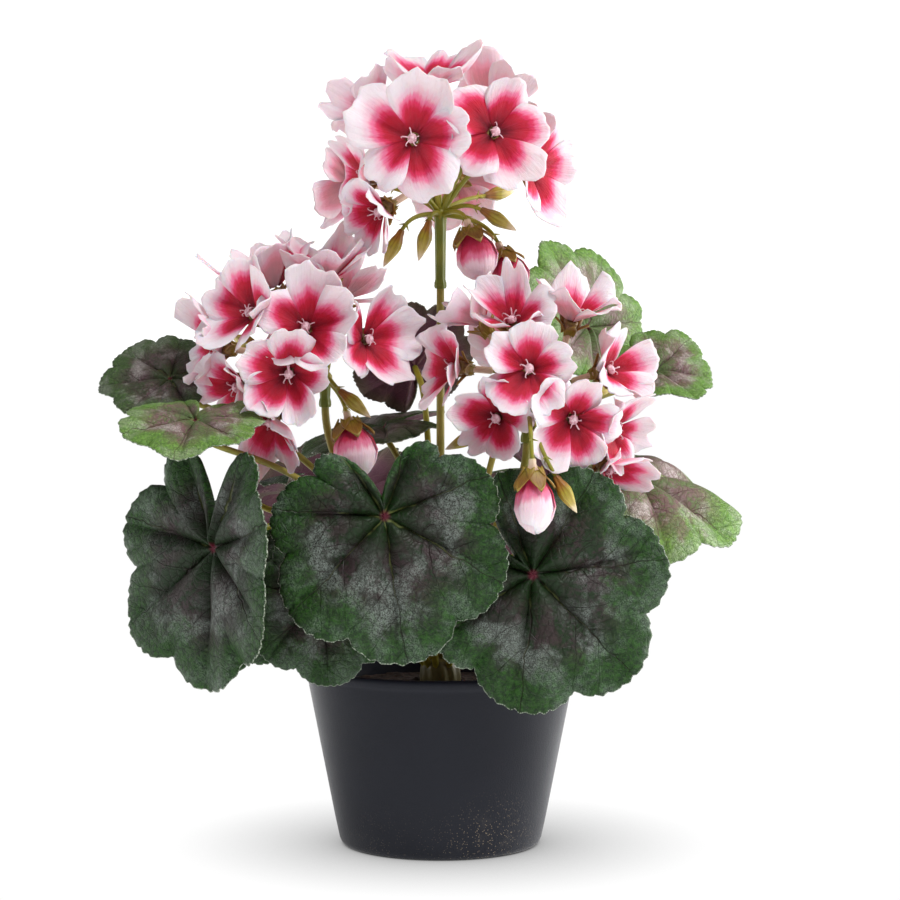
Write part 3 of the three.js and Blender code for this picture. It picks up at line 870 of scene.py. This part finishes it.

# %% [markdown]
# ## Petal fabric
# A petal is white to pale lavender at its edge and runs through hot pink into a crimson wedge and a
# dark throat, with fine streaks that follow its length. The colour follows the length of the petal
# plus a part of the distance from its middle line, so the wedge narrows toward both sides. A faint
# painted glow, stronger on the backs, stands in for the light that thin fabric lets through, and the
# backs are painted paler, partly their own paler colour and partly painted light shining through.


# %% Petal materials
def petal_fabric(name, stops, side_pull, streak, paler_and_glowing=0.0):
    material, tree, shader = new_material(name, Roughness=0.6, Specular_IOR_Level=0.25,
                                          Subsurface_Weight=0.3, Subsurface_Scale=0.0015,
                                          Emission_Strength=0.02 + 0.14 * paler_and_glowing)
    parts = split(tree, uv(tree, "petal_map"))
    lot = split(tree, uv(tree, "petal_lot"))
    mid = add_share(tree, parts[0], 2.0, -1.0)
    aside = times(tree, mid, mid)
    lane = times(tree, parts[0], 17.0)
    layer = times(tree, lot[0], 40.0)
    seat = combine(tree, lane, times(tree, parts[1], 1.7), layer)
    thread = noise(tree, seat, 1.0, 4.0, 0.7)
    broad = combine(tree, times(tree, parts[0], 2.6), parts[1], layer)
    drift = noise(tree, broad, 1.6, 3.0, 0.5)
    reach = add_share(tree, aside, side_pull, parts[1])
    reach = sway(tree, thread, streak, reach)
    reach = sway(tree, drift, 0.3, reach)
    reach = sway(tree, lot[1], 0.22, reach)
    face = steps(tree, reach, *stops)
    vein = times(tree, between(tree, thread, 0.55, 0.72), 0.16)
    face = blend(tree, vein, face, colour(190, 60, 100))
    # The backs are painted paler: partly their own paler colour, partly painted light shining through.
    if paler_and_glowing:
        face = blend(tree, paler_and_glowing, face, colour(240, 218, 228))
    woven = effect(tree, nap, Place=own_place(tree), Scale=3000.0)
    face = blend(tree, times(tree, woven["Tone"], 0.06), face, colour(160, 130, 150))
    tree.links.new(face, shader["Base Color"])
    # Painted glow: the petal's colour is also its emission, standing in for light that shines through the
    # fabric.
    tree.links.new(face, shader["Emission Color"])
    tree.links.new(add_share(tree, woven["Tone"], 0.15, 0.5), shader["Roughness"])
    height = add_share(tree, thread, 1.4, times(tree, woven["Height"], 0.3))
    relief(tree, shader, add_share(tree, drift, 1.5, height), 0.0007, 0.9)
    return material


crimson_to_white = [(0.0, 112, 12, 30), (0.15, 142, 14, 36), (0.3, 166, 16, 42),
                    (0.47, 184, 16, 48), (0.57, 210, 44, 90), (0.66, 228, 118, 154),
                    (0.78, 230, 193, 206), (0.9, 231, 217, 223), (1.0, 232, 223, 228)]
petal_front = petal_fabric("petal_front", crimson_to_white, 0.26, 0.2)
petal_back = petal_fabric("petal_back", crimson_to_white, 0.2, 0.14, paler_and_glowing=0.42)
bud_front = petal_fabric("bud_petal", [(0.0, 168, 24, 54), (0.3, 192, 40, 78),
                                       (0.44, 222, 116, 148), (0.6, 240, 204, 214),
                                       (1.0, 248, 232, 236)], -0.1, 0.24)

boss_fabric, tree, shader = new_material("flower_boss", Roughness=0.5)
lumps = noise(tree, own_place(tree), 700.0, 3.0, 0.6)
face = steps(tree, lumps, (0.3, 202, 146, 160), (0.7, 232, 202, 210))
tree.links.new(face, shader["Base Color"])
relief(tree, shader, lumps, 0.0004, 0.8)

# %% [markdown]
# ## Open flowers
# A flower is five petals of pressed fabric round a pale boss with curled stamens. Each petal is a
# grid that is narrow at the throat, fans out and rounds off at its tip. It leans a little, so that
# one edge passes over its neighbour, and its own curl, lift and ruffle keep the petals unlike.


# %% One petal
def petal_maps(lot, hue):
    return {"petal_map": full_map, "petal_lot": lambda across, along: (lot + 0 * along, hue)}


def petal(name, turn, length, width, cup, shape, materials):
    """A petal along +X, turned about +Z, with the shape that petal_shape draws."""
    lean, curl, lift, crease, roll, skew, waves, ruffle, lot, hue = shape

    def place(across, along):
        # The outline: a notched and frilled tip, and sides that widen from the throat.
        mid = np.abs(across)
        notch = (0.02 + 0.07 * hue) * np.exp(-((across / 0.22) ** 2)) * along**6
        frill = 0.03 * np.sin(7 * across + ruffle) * along**3 - notch
        frill = frill + 0.016 * np.sin(15 * across + 2.3 * ruffle) * along**6
        share = 0.1 + 0.9 * along * (1 - (0.3 + 0.24 * lot) * mid**3 + frill)
        reach = length * share
        half_width = width * (0.15 + 0.85 * np.sin(math.pi / 2 * along) ** 1.1)
        side = -across * half_width + skew * length * share**2
        # The height: the cup, sunk at the throat, and all that bends the petal out of it.
        height = cup * share**1.5 - 3.6 * mm * np.exp(-((share / 0.24) ** 2))
        height += lean * side + curl * length * mid**2 * along
        height += roll * np.clip((share - 0.62) / 0.38, 0, 1) ** 2
        valley = crease * length * np.exp(-((across / 0.3) ** 2)) * np.sin(math.pi * along)
        height += lift * share**3 - valley
        height += waves * length * np.sin(5 * across + ruffle) * along**2.5
        height += 0.014 * length * np.sin(13 * across - ruffle + 3 * along) * along**3
        x = reach * math.cos(turn) - side * math.sin(turn)
        y = reach * math.sin(turn) + side * math.cos(turn)
        return x, y, height

    return sheet(name, 14, 16, place, petal_maps(lot, hue), materials)


# %% Boss and stamens, modelled once
deselect()
bpy.ops.mesh.primitive_uv_sphere_add(segments=14, ring_count=9, radius=1.0)
boss = named("boss_pattern")
boss.data.uv_layers.remove(boss.data.uv_layers[0])
open_edit(boss)
bpy.ops.transform.resize(value=(2.2 * mm, 2.1 * mm, 1.5 * mm))
bpy.ops.transform.vertex_random(offset=0.22 * mm, seed=4)
close_edit()
boss.data.materials.append(boss_fabric)
curled = [Vector(p) * mm for p in ((0.6, 0, 0.6), (2.6, 0.2, 3.6), (4.6, 0.6, 3.4), (3.9, 1.0, 1.6))]
stamen = stalk("stamen_pattern", curled, (0.3 * mm, 0.2 * mm), boss_fabric, 6, 7)


# %% Whole flowers
def petal_shape(chance, deep):
    """Draws a petal's shape. The flowers of the lower heads are deep (1), those of the top are not (0)."""
    draw = chance.uniform
    lean, curl = draw(0.12, 0.3), draw(-0.25, 0.25 + 0.25 * deep)
    lift, crease = draw(-5, 3.5 + 2 * deep) * mm, draw(0.05, 0.13)
    roll, skew = draw(-6.5, 4.5) * mm, draw(-0.09, 0.09)
    waves, ruffle = draw(0.03, 0.07 + 0.02 * deep), draw(0, 6.28)
    return lean, curl, lift, crease, roll, skew, waves, ruffle, chance.random(), chance.random()


def open_flower(name, node, seed):
    seat, radius, cup = flower_axes(node)
    chance = random.Random(seed)
    deep = 0.0 if "top" in node else 1.0
    upward = max(0.0, facing_of(seat).z)
    cup += (0.14 + 0.42 * upward**2) * radius
    parts = []
    for k in range(5):
        turn = 2 * math.pi * k / 5 + chance.uniform(-0.12, 0.12)
        length = radius * chance.uniform(1.1 - 0.02 * deep, 1.38 - 0.06 * deep) * (1 + 0.06 * deep)
        shape = petal_shape(chance, deep)
        width = length * chance.uniform(0.42, 0.54)
        height = cup + 0.12 * deep * radius
        parts.append(petal(name, turn, length, width, height, shape, [petal_front, petal_back]))
    whole = joined(parts, name)
    thicken(whole, 0.35 * mm, back=1, rim=0)
    extras = [copy_of(boss, Matrix.Translation((0, 0, 0.2 * mm)))]
    for k in range(chance.choice((4, 5, 6))):
        turn = Matrix.Rotation(k * 1.15 + chance.uniform(0, 0.5), 4, "Z")
        extras.append(copy_of(stamen, turn @ Matrix.Diagonal((*[chance.uniform(0.7, 1.1)] * 3, 1))))
    whole = joined([whole, *extras], name)
    whole.data.transform(seat)
    return finished(whole, "petal", node)


flower_nodes = sorted(o.name for o in bpy.data.objects if o.name.startswith("flower_"))
for number, node in enumerate(flower_nodes):
    open_flower(node.replace("flower", "petals"), node, 100 + number)
discard(boss, stamen)
print("open flowers", len(flower_nodes))

# %% [markdown]
# ## Calyx and sleeve
# Behind the petals a moulded calyx holds them with five pointed sepals, and its tube is a sleeve
# that is pushed onto the end of the flower stalk.

# %% Calyx, modelled once
flower_depth = 19 * mm


def sepal(name, width, hug, skin):
    """A pointed scale along a path of (distance from the axis, height) that hug(along) gives."""

    def place(across, along):
        out, height = hug(along)
        side = across * width * np.sqrt(np.clip(1 - along, 0, 1)) * (0.75 + 1.2 * along * (1 - along))
        dome = -0.3 * width * across**2
        return out + 0 * side, side, height + dome

    made = sheet(name, 4, 9, place, {"long_map": full_map}, [skin])
    merge_corners(made)
    thicken(made, 0.4 * mm)
    return made


profile = [(1.2, -19.2), (1.55, -18.6), (1.5, -14), (1.45, -10.5), (2.1, -9), (2.7, -7), (3.0, -5),
           (3.1, -3.6), (2.2, -3.3)]
sleeve = turned("sleeve_pattern", profile, 20, 18, sleeve_skin, ribs=5, rib_depth=0.06)


def spreading(along):
    """The path of an open flower's sepal, which spreads under the petals."""
    return 2.0 * mm + 6.2 * mm * along**1.35, -9.2 * mm + 6.9 * mm * along**0.62


behind_petals = sepal("sepal_pattern", 3.0 * mm, spreading, sepal_skin)


def calyx(name, node, seed):
    seat = flower_axes(node)[0]
    chance = random.Random(seed)
    parts = [copy_of(sleeve, Matrix())]
    for k in range(5):
        turn = Matrix.Rotation(2 * math.pi * (k + 0.5) / 5 + chance.uniform(-0.1, 0.1), 4, "Z")
        size = Matrix.Scale(chance.uniform(0.9, 1.08), 4, Vector((1, 0, 0)))
        parts.append(copy_of(behind_petals, turn @ size))
    whole = joined(parts, name)
    whole.data.transform(seat)
    return finished(whole, "stalk", node)


for number, node in enumerate(flower_nodes):
    calyx(node.replace("flower", "calyx"), node, 300 + number)
discard(sleeve, behind_petals)
print("calyxes", len(flower_nodes))

# %% [markdown]
# ## Pink buds
# A bud about to open is a rolled egg of petals. Three curved sheets wind round one axis, and each
# starts under the one before it and ends over the next, so their pale edges show as spirals.


# %% Rolled buds
bud_grown = ((0, 0.14, 0.38, 0.62, 0.82, 0.94, 1), (0.3, 0.5, 0.88, 1, 0.8, 0.48, 0.1))
cap_grown = ((0, 0.14, 0.38, 0.62), (0.42, 0.62, 1.0, 1.1))


def bud_shell(name, k, length, radius, chance):
    start = 2 * math.pi * k / 3 + chance.uniform(-0.15, 0.15)
    lot, hue = chance.random(), chance.random()

    def place(across, along):
        turn = (across + 1) / 2
        angle = start + 2.9 * turn + 0.5 * along
        grown = np.interp(along, *bud_grown)
        out = radius * grown * (0.9 + 0.17 * turn**1.5 * (0.4 + 0.6 * along))
        height = length * (0.1 + 0.9 * along * (1 - 0.05 * turn**4) - 0.02 * turn * along)
        return out * np.cos(angle), out * np.sin(angle), height

    made = sheet(name, 22, 18, place, petal_maps(lot, hue), [bud_front, petal_back])
    thicken(made, 0.4 * mm, back=1)
    return made


def pink_bud(node, seed):
    seat, length, radius = bud_axes(node)
    length, radius = 1.08 * length, 1.12 * radius
    chance = random.Random(seed)
    shells = [bud_shell(node, k, length, radius, chance) for k in range(3)]
    whole = joined(shells, node.replace("bud", "bud_petals"))
    whole.data.transform(seat)
    finished(whole, "bud", node)

    def hug(along):
        grown = np.interp(along * 0.4, *cap_grown)
        return radius * grown + 0.15 * mm, length * (0.1 + 0.3 * along)

    profile = [(1.2 * mm, -2 * mm), (1.6 * mm, -1.4 * mm), (1.6 * mm, 0.02 * length),
               (2.3 * mm, 0.07 * length), (0.42 * radius, 0.13 * length),
               (0.55 * radius, 0.2 * length), (0.3 * radius, 0.22 * length)]
    tube = turned("bud_tube", profile, 20, 14, sleeve_skin, ribs=5, rib_depth=0.05, unit=1)
    scale = sepal("bud_sepal", 0.62 * radius, hug, sepal_skin)
    # The scale is bent round the bud, so its sides are drawn in toward the axis.
    for vertex in scale.data.vertices:
        out, side = vertex.co.x, vertex.co.y
        vertex.co.x, vertex.co.y = out * math.cos(side / out), out * math.sin(side / out)
    parts = [tube]
    for k in range(5):
        turn = 2 * math.pi * k / 5 + chance.uniform(-0.1, 0.1)
        parts.append(copy_of(scale, Matrix.Rotation(turn, 4, "Z")))
    discard(scale)
    cap = joined(parts, node.replace("bud", "bud_calyx"))
    cap.data.transform(seat)
    finished(cap, "stalk", node)


bud_nodes = sorted(o.name for o in bpy.data.objects if o.name.startswith("bud_"))
for number, node in enumerate(bud_nodes):
    pink_bud(node, 500 + number)
print("pink buds", len(bud_nodes))

# %% [markdown]
# ## Flower heads
# All flower stalks of a head leave one hub on top of its stem, bow out, and end in a sleeve or a bud.
# Small tight buds hang among them. Three tiny bracts sit on each stalk just before its end.

# %% Head measures
stubs = {"top": 32 * mm, "left": 12 * mm, "right": 12 * mm}
hub_profile = [(0, -3.6), (2.3, -3.2), (3.0, -1), (2.9, 1), (1.8, 2.6), (0, 3)]
small_buds = {  # base from the hub in mm, and the way it points
    "top": [((-17, -14, -7), (-0.45, 0, -0.9)), ((-5, -15, -3), (-0.25, -0.1, -0.95)),
            ((18, -12, 2), (0.85, 0, -0.5)), ((20, 18, 8), (0.7, 0.6, 0.1))],
    "left": [((7, -13, -5), (0.75, -0.1, -0.65)), ((-30, 18, 12), (-0.75, 0.6, 0.3)),
             ((-8, 26, 10), (0, 1, 0.2))],
    "right": [((-20, -24, -6), (-0.9, -0.2, -0.45)), ((11, -56, -23), (0.5, 0, -0.86)),
              ((26, 14, 8), (0.8, 0.6, 0.1))],
}
profile = [(1.1, -0.3), (1.5, 0.8), (1.7, 2.4), (2.6, 5), (3.0, 7.6), (2.7, 10), (1.9, 13), (0.9, 16.2),
           (0.1, 18)]
small_bud = turned("small_bud_pattern", profile, 30, 26, small_bud_skin, ribs=5, rib_depth=0.13, twist=0.5)
deselect()
bpy.ops.mesh.primitive_cone_add(vertices=6, radius1=0.55 * mm, radius2=0.08 * mm, depth=3.2 * mm)
bract = named("bract_pattern")
bract.data.transform(Matrix.Translation((0, 0, 1.3 * mm)))
bract.data.uv_layers.remove(bract.data.uv_layers[0])
bract.data.materials.append(stalk_green)


def bracts_at(points, share, chance):
    """Three bracts round a stalk, at a share of the way along its curve."""
    a, b, c, d = points
    left = 1 - share
    place = a * left**3 + 3 * b * share * left**2 + 3 * c * share**2 * left + d * share**3
    along = ((b - a) * left**2 + 2 * (c - b) * share * left + (d - c) * share**2).normalized()
    seat = axes(place, Vector((0.3, 0.5, 0.8)), along)
    made = []
    for k in range(3):
        turn = Matrix.Rotation(2.1 * k + chance.uniform(-0.4, 0.4), 4, "Z")
        lean = Matrix.Rotation(chance.uniform(0.75, 1.15), 4, "Y")
        made.append(copy_of(bract, seat @ turn @ Matrix.Translation((0.6 * mm, 0, 0)) @ lean))
    return made


def head_stalk(hub, end, faces, chance):
    """The route from the hub to an end, where it arrives the way the flower faces."""
    reach = end - hub
    rise = reach.normalized().lerp(Vector((0, 0, 1)), 0.25).normalized()
    points = [hub, hub + rise * 0.35 * reach.length, end - faces * 0.4 * reach.length, end]
    made = stalk("flower_stalk", points, (1.25 * mm, 0.85 * mm), stalk_green, 8, 14)
    return [made, *bracts_at(points, 0.84, chance)]


# %% Hubs, flower stalks and small buds
hubs = {}
for head, stub in stubs.items():
    top_of_stem = corners_of("scape_" + head)[0]
    highest = max(p.z for p in top_of_stem)
    cap = middle([p for p in top_of_stem if p.z > highest - 0.01 * mm])
    hub = cap + Vector((0, 0, stub + 0.3 * mm))
    hubs[head] = hub
    chance = random.Random("head " + head)
    umbel = "umbel_" + head
    parts = []
    for node in (n for n in flower_nodes if n.startswith("flower_" + head)):
        seat = flower_axes(node)[0]
        faces = facing_of(seat)
        parts += head_stalk(hub, seat.translation - faces * (flower_depth - 0.6 * mm), faces, chance)
    for node in (n for n in bud_nodes if n.startswith("bud_" + head)):
        seat = bud_axes(node)[0]
        parts += head_stalk(hub, seat.translation, facing_of(seat), chance)
    buds = []
    for base, points in small_buds[head]:
        aim = Vector(points).normalized()
        base = hub + Vector(base) * mm
        parts += head_stalk(hub, base + aim * mm, aim, chance)
        buds.append(copy_of(small_bud, axes(base, Vector((0.3, -0.9, 0.2)), aim)))
    knob = turned("hub_knob", hub_profile, 24, 12, stalk_green, ribs=8, rib_depth=0.08)
    knob.data.transform(Matrix.Translation(hub))
    finished(joined([knob, *parts], "flower_stalks_" + head), "stalk", umbel)
    finished(joined(buds, "small_buds_" + head), "stalk", umbel)
discard(small_bud, bract)
print("heads", {head: [round(c / mm) for c in hub] for head, hub in hubs.items()})

# %% [markdown]
# ## Stems
# A thick ribbed stub is moulded with each hub and plugs onto a thinner stem. The joint shows as a
# small collar, and the stem below it runs down to the crown.

# %% Stems
scape_radius, scape_ring = 1.7 * mm, 3 * mm
feet = {"top": 90, "left": 205, "right": 330}  # where each stem stands in the crown, in degrees
for head, hub in hubs.items():
    stub = stubs[head]
    profile = [(0.3 * mm, -stub - 1.2 * mm), (2.3 * mm, -stub - 1 * mm), (2.6 * mm, -stub),
               (2.55 * mm, -stub + 1.5 * mm), (2.15 * mm, -stub + 3 * mm), (2.3 * mm, -0.5 * stub),
               (2.5 * mm, -4 * mm), (2.9 * mm, -1 * mm), (0.4 * mm, 0)]
    upper = turned("stem_stub", profile, 48, 40, stem_green, ribs=6, rib_depth=0.07, twist=0.3, unit=1)
    upper.data.transform(Matrix.Translation(hub))
    finished(upper, "stalk", "umbel_" + head).name = "stem_stub_" + head
    compass = math.radians(feet[head])
    start = Vector((scape_ring * math.cos(compass), scape_ring * math.sin(compass), crown_top + 0.3 * mm))
    end = hub - Vector((0, 0, stub + 0.3 * mm))
    pull = Vector((0, 0, 0.35 * (end - start).length))
    lower = stalk("stem_" + head, [start, start + pull, end - pull, end], (1.15 * scape_radius, scape_radius),
                  stem_yellow, 16, 40)
    finished(lower, "stalk", "scape_" + head)
print("stems", list(hubs))

# %% [markdown]
# ## Pot and potting mix
# The pot is a plain tapered cup of charcoal plastic with a rounded foot and a soft lip. It is drawn
# up from a circle: each ring is extruded, moved and resized, as on a wheel.

# %% Pot plastic
pot_plastic, tree, shader = new_material("pot_plastic", Roughness=0.36, Specular_IOR_Level=0.13)
surface = effect(tree, moulded, Place=own_place(tree), Scale=1500.0, Dust=0.36)
height_in_pot = split(tree, own_place(tree))[2]
face = blend(tree, surface["Cloud"], colour(20, 22, 29), colour(28, 30, 38))
# Dust clings to the foot of the pot, most of it round one spot.
foot = between(tree, height_in_pot, 0.03, 0.0)
beside = vector(tree, "DISTANCE", own_place(tree), (0.024, -0.042, 0.006))["Value"]
spot = between(tree, beside, 0.03, 0.004)
clinging = add_share(tree, foot, 0.2, times(tree, spot, 0.45))
soiled = times(tree, surface["Dust"], clinging)
face = blend(tree, soiled, face, colour(150, 134, 112))
haze = noise(tree, own_place(tree), 90.0, 5.0, 0.7)
hazy = times(tree, between(tree, haze, 0.5, 0.8), 0.25)
face = blend(tree, times(tree, spot, hazy), face, colour(96, 90, 84))
tree.links.new(face, shader["Base Color"])
tree.links.new(add_share(tree, surface["Cloud"], 0.2, 0.28), shader["Roughness"])
relief(tree, shader, surface["Height"], 0.00025, 0.5)

# %% Pot
wall = 2 * mm
base_radius, top_radius = 45 * mm, pot_high.x
slope = (top_radius - base_radius) / pot_high.z


def rings_at(radius, *places):
    """Rings of the pot from places of (distance out from a radius, height), both in mm."""
    return [(radius + out * mm, height * mm) for out, height in places]


inside = top_radius - wall
rings = rings_at(base_radius, (-3, 0), (-1.4, 0.4), (-0.3, 1.5), (0.4, 3))
rings += [(base_radius + slope * z * mm, z * mm) for z in (12, 24, 36, 48, 60, 70, 76)]
rings += rings_at(top_radius, (-1.0, 77.2), (0.1, 78), (0.2, 80.6), (-0.2, 81.7), (-1, 82))
rings += rings_at(inside, (0.1, 81.6), (-0.3, 80))
rings += [(base_radius - wall + slope * z * mm, z * mm) for z in (60, 36, 12)]
rings += [(base_radius - wall - 2 * mm, wall + 0.4 * mm), (base_radius - wall - 5 * mm, wall)]
deselect()
bpy.ops.mesh.primitive_circle_add(vertices=128, radius=rings[0][0], fill_type="NGON")
pot = named("plant_pot")
open_edit(pot)
for (radius, height), (past_radius, past_height) in zip(rings[1:], rings):
    bpy.ops.mesh.extrude_region_move(TRANSFORM_OT_translate={"value": (0, 0, height - past_height)})
    share = radius / past_radius
    bpy.ops.transform.resize(value=(share, share, 1), center_override=(0, 0, height))
bpy.ops.mesh.select_all(action="SELECT")
bpy.ops.mesh.normals_make_consistent(inside=False)
close_edit()
pot.data.materials.append(pot_plastic)
finished(pot, "pot", "pot")
print("pot rings", len(rings))

# %% Potting mix
mix_brown, tree, shader = new_material("potting_mix", Roughness=0.95)
crumb = voronoi(tree, own_place(tree), 420.0)
tone = noise(tree, own_place(tree), 300.0, 4.0, 0.7)
face = steps(tree, tone, (0.3, 24, 17, 12), (0.55, 46, 33, 24), (0.75, 84, 64, 48))
tree.links.new(face, shader["Base Color"])
relief(tree, shader, calc(tree, "ADD", crumb["Distance"], tone), 0.001, 1.0)

mix_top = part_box("potting_mix")[1][2]
mound, lump_width, lump_ring, settled = 3 * mm, 2.2 * mm, 0.056, 1.2 * mm
mix_edge = mix_top - mound
chance = random.Random("mix")
lumps = [(chance.uniform(0.05, 0.9), chance.uniform(0, 6.28), chance.uniform(0.6, 1.9) * mm) for _ in range(160)]


def mix_place(across, along):
    angle = math.pi * across
    out = (base_radius - wall + slope * mix_edge - 0.4 * mm) * along
    x, y = out * np.cos(angle), out * np.sin(angle)
    height = mix_edge + mound * (1 - along)
    for share, way, size in lumps:
        gap_x = x - lump_ring * share * math.cos(way)
        gap_y = y - lump_ring * share * math.sin(way)
        height = height + size * np.exp(-(gap_x**2 + gap_y**2) / lump_width**2)
    return x, y, height - settled


mix = sheet("mix_surface", 180, 60, mix_place, {}, [mix_brown])
merge_corners(mix)
finished(mix, "potting_mix", "potting_mix")
print("potting mix top in mm", round(mix_top / mm, 1))
